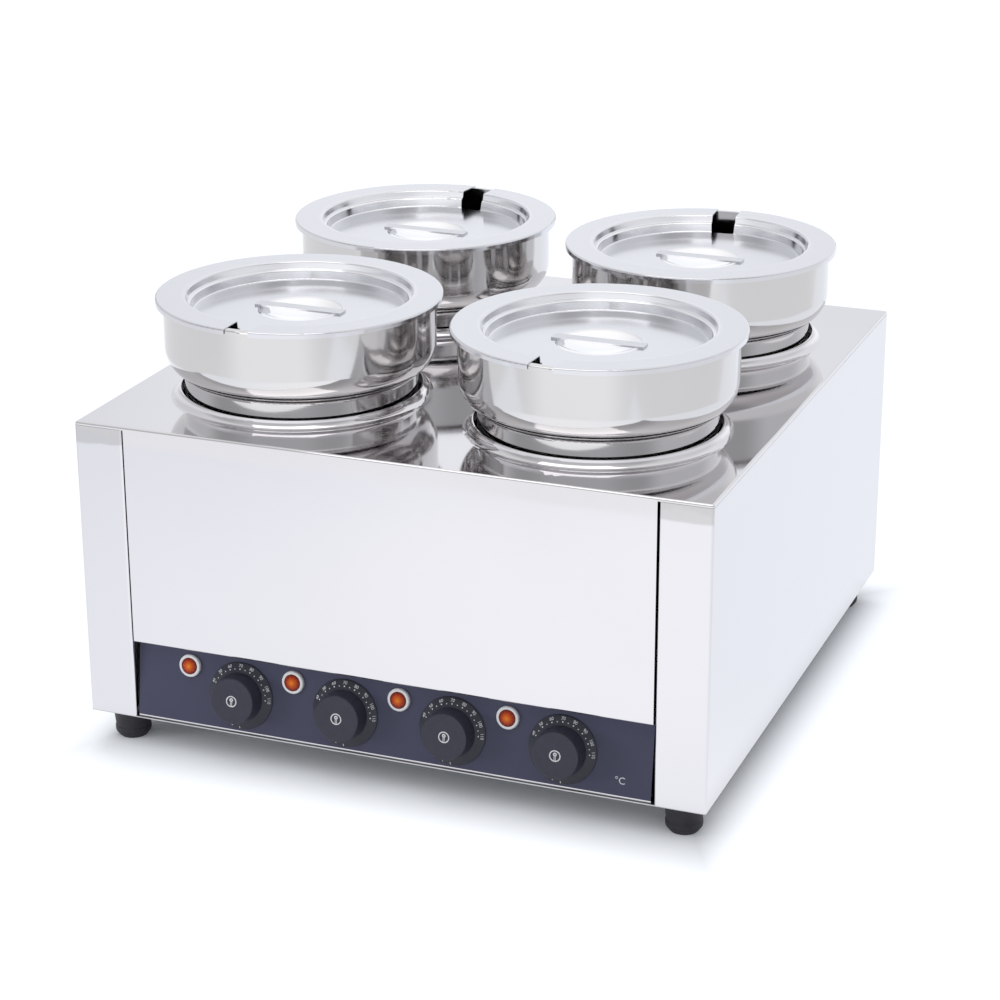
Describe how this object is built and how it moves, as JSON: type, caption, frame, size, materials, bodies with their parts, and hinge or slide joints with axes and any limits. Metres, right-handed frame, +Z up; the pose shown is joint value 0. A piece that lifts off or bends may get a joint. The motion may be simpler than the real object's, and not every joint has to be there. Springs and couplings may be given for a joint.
{
  "type": "four-pot food warmer",
  "caption": "Countertop electric food warmer: polished steel casing with lift-out round pots, notched recessed lids, and a tilted dark panel of thermostat knobs and amber lamps",
  "frame": {"origin": "on the counter, under the middle of the casing", "axes": "+Z up, the control panel faces -Y, +X to the right seen from the front"},
  "size_m": [0.58, 0.6137, 0.3977],
  "materials": {
    "casing_steel": "mirror-polished stainless sheet",
    "pot_steel": "polished spun stainless",
    "lid_steel": "satin pressed stainless",
    "inner_steel": "mill-finish stainless",
    "fastener_steel": "turned stainless",
    "panel_overlay": "fine-textured dark slate film",
    "dial_plastic": "moulded, white printed scale",
    "knob_plastic": "moulded charcoal",
    "lamp_bezel": "white moulded ring",
    "lamp_lens": "amber moulded, domed",
    "foot_rubber": "moulded black",
    "white_plastic": "moulded, heat-resisting",
    "gland_plastic": "moulded nylon",
    "heater_mica": "pressed mica with foil",
    "copper": "drawn copper",
    "lead_insulation": "silicone-insulated leads"
  },
  "bodies": {
    "casing": {"base_plate": "inner_steel", "left_side_panel": "casing_steel", "right_side_panel": "casing_steel", "rear_panel": "casing_steel", "top_shell": "casing_steel", "control_panel": "casing_steel", "panel_overlay": "panel_overlay", "lamp_bezels": "lamp_bezel", "lamp_lenses": "lamp_lens", "lamp_bodies": "white_plastic", "dial_rings": "dial_plastic", "bracket_screws": "fastener_steel", "heater_clamps": "inner_steel", "heater_nuts": "fastener_steel", "sensors": "copper", "heater_leads": "lead_insulation", "mains_trunk": "lead_insulation", "terminal_block": "white_plastic", "cable_gland": "gland_plastic", "gland_nut": "gland_plastic", "casing_screws": "fastener_steel", "foot_screws": "fastener_steel", "foot_front_left": "foot_rubber", "well_front_left": "inner_steel", "heater_front_left": "heater_mica", "thermostat_front_left": "white_plastic", "foot_front_right": "foot_rubber", "well_front_right": "inner_steel", "heater_front_right": "heater_mica", "thermostat_front_right": "white_plastic", "foot_rear_left": "foot_rubber", "well_rear_left": "inner_steel", "heater_rear_left": "heater_mica", "thermostat_rear_left": "white_plastic", "foot_rear_right": "foot_rubber", "well_rear_right": "inner_steel", "heater_rear_right": "heater_mica", "thermostat_rear_right": "white_plastic"},
    "pot_front_left": {"pot_front_left": "pot_steel"},
    "lid_front_left": {"lid_front_left": "lid_steel", "lid_handle_front_left": "lid_steel"},
    "knob_front_left": {"knob_front_left": "knob_plastic", "spindle_front_left": "fastener_steel"},
    "pot_front_right": {"pot_front_right": "pot_steel"},
    "lid_front_right": {"lid_front_right": "lid_steel", "lid_handle_front_right": "lid_steel"},
    "knob_front_right": {"knob_front_right": "knob_plastic", "spindle_front_right": "fastener_steel"},
    "pot_rear_left": {"pot_rear_left": "pot_steel"},
    "lid_rear_left": {"lid_rear_left": "lid_steel", "lid_handle_rear_left": "lid_steel"},
    "knob_rear_left": {"knob_rear_left": "knob_plastic", "spindle_rear_left": "fastener_steel"},
    "pot_rear_right": {"pot_rear_right": "pot_steel"},
    "lid_rear_right": {"lid_rear_right": "lid_steel", "lid_handle_rear_right": "lid_steel"},
    "knob_rear_right": {"knob_rear_right": "knob_plastic", "spindle_rear_right": "fastener_steel"}
  },
  "joints": [
    {"name": "pot_front_left_lift", "type": "slide", "parent": "casing", "child": "pot_front_left", "axis": [0, 0, 1], "range_m": [0, 0.24]},
    {"name": "lid_front_left_lift", "type": "slide", "parent": "pot_front_left", "child": "lid_front_left", "axis": [0, 0, 1], "range_m": [0, 0.12]},
    {"name": "pot_front_right_lift", "type": "slide", "parent": "casing", "child": "pot_front_right", "axis": [0, 0, 1], "range_m": [0, 0.24]},
    {"name": "lid_front_right_lift", "type": "slide", "parent": "pot_front_right", "child": "lid_front_right", "axis": [0, 0, 1], "range_m": [0, 0.12]},
    {"name": "pot_rear_left_lift", "type": "slide", "parent": "casing", "child": "pot_rear_left", "axis": [0, 0, 1], "range_m": [0, 0.24]},
    {"name": "lid_rear_left_lift", "type": "slide", "parent": "pot_rear_left", "child": "lid_rear_left", "axis": [0, 0, 1], "range_m": [0, 0.12]},
    {"name": "pot_rear_right_lift", "type": "slide", "parent": "casing", "child": "pot_rear_right", "axis": [0, 0, 1], "range_m": [0, 0.24]},
    {"name": "lid_rear_right_lift", "type": "slide", "parent": "pot_rear_right", "child": "lid_rear_right", "axis": [0, 0, 1], "range_m": [0, 0.12]},
    {"name": "knob_front_left_turn", "type": "hinge", "parent": "casing", "child": "knob_front_left", "pos_m": [-0.1402, -0.28489, 0.0665], "axis": [0, 0.9917, -0.1288], "range_deg": [0, 270]},
    {"name": "knob_front_right_turn", "type": "hinge", "parent": "casing", "child": "knob_front_right", "pos_m": [0.1616, -0.28489, 0.0665], "axis": [0, 0.9917, -0.1288], "range_deg": [0, 270]},
    {"name": "knob_rear_left_turn", "type": "hinge", "parent": "casing", "child": "knob_rear_left", "pos_m": [-0.0396, -0.28489, 0.0665], "axis": [0, 0.9917, -0.1288], "range_deg": [0, 270]},
    {"name": "knob_rear_right_turn", "type": "hinge", "parent": "casing", "child": "knob_rear_right", "pos_m": [0.061, -0.28489, 0.0665], "axis": [0, 0.9917, -0.1288], "range_deg": [0, 270]}
  ]
}
